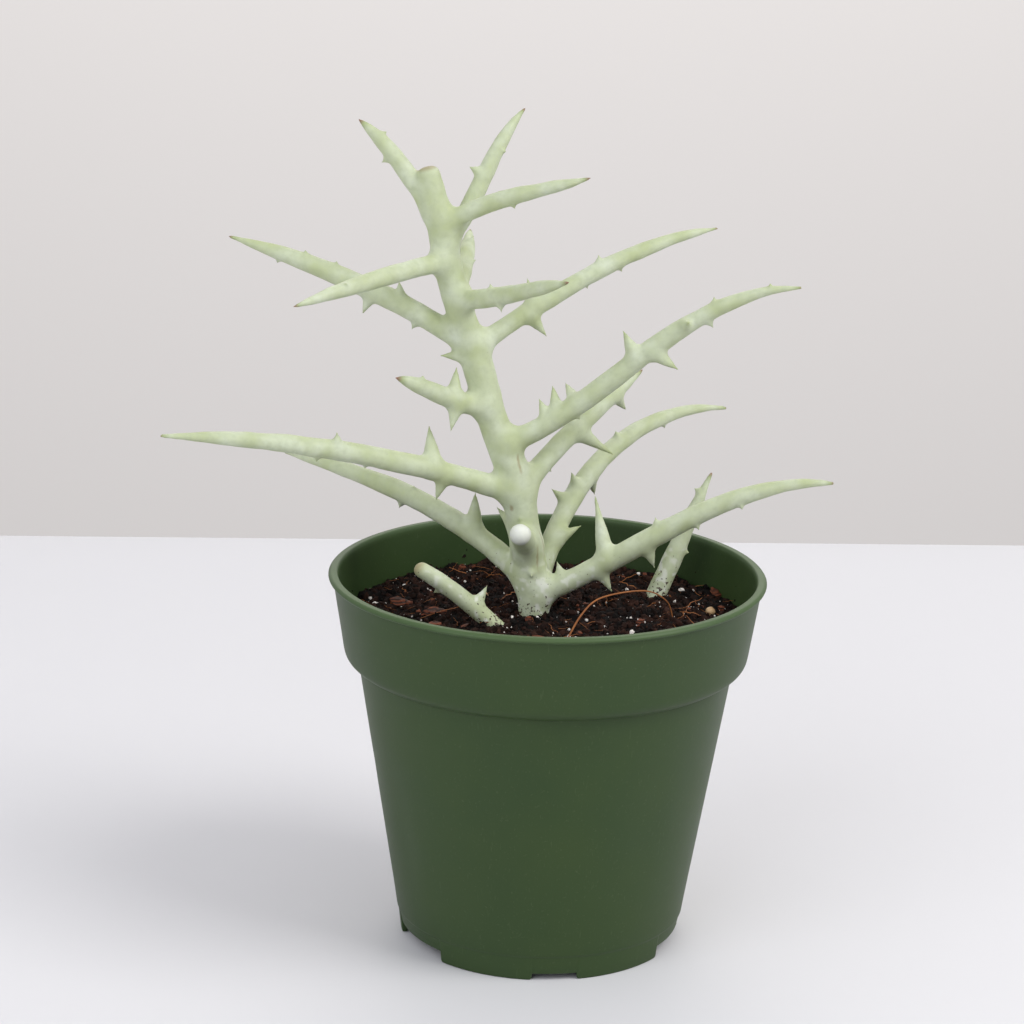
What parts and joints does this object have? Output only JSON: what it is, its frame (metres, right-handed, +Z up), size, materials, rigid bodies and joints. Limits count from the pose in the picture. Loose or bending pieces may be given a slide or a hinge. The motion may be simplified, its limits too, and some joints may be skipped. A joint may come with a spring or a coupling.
{
  "type": "potted euphorbia",
  "caption": "Leafless thorny euphorbia with a leaning main stem and long pointed side branches, growing in peat mix in a round green nursery pot.",
  "frame": {"origin": "middle of the pot's underside, on the surface that it stands on", "axes": "+Z up the pot, +X to the right and +Y to the back, seen from the front"},
  "size_m": [0.1716, 0.114, 0.2177],
  "materials": {
    "pot_plastic": "satin moulded polypropylene, mid-dark green",
    "potting_mix": "moist dark peat crumbs with white perlite and fine fibres, matt",
    "waxy_stem": "pale grey-green succulent skin under a matt wax bloom, reddish thorn tips",
    "tan_pebble": "worn tan pebble, matt",
    "perlite": "white foamed volcanic glass, matt",
    "bark": "broken red-brown bark, matt",
    "root_fibre": "dry coir fibre, red-brown"
  },
  "bodies": {
    "root": {"nursery_pot": "pot_plastic", "potting_soil": "potting_mix", "main_stem": "waxy_stem", "top_left_branch": "waxy_stem", "top_front_branch": "waxy_stem", "top_back_branch": "waxy_stem", "rear_upper_branch": "waxy_stem", "upper_front_left_branch": "waxy_stem", "upper_front_right_branch": "waxy_stem", "upper_left_branch": "waxy_stem", "upper_right_branch": "waxy_stem", "middle_left_branch": "waxy_stem", "long_right_branch": "waxy_stem", "middle_back_branch": "waxy_stem", "long_left_branch": "waxy_stem", "low_front_stub": "waxy_stem", "low_left_branch": "waxy_stem", "low_right_branch": "waxy_stem", "low_back_branch": "waxy_stem", "back_right_shoot": "waxy_stem", "front_left_shoot": "waxy_stem", "pebble_left": "tan_pebble", "pebble_right": "tan_pebble", "perlite_grain_left": "perlite", "perlite_grain_front": "perlite", "perlite_grain_right": "perlite", "bark_chip_large": "bark", "bark_chip_small": "bark", "bark_chip_back": "bark", "root_fibre_long": "root_fibre", "root_fibre_short": "root_fibre"}
  },
  "joints": []
}
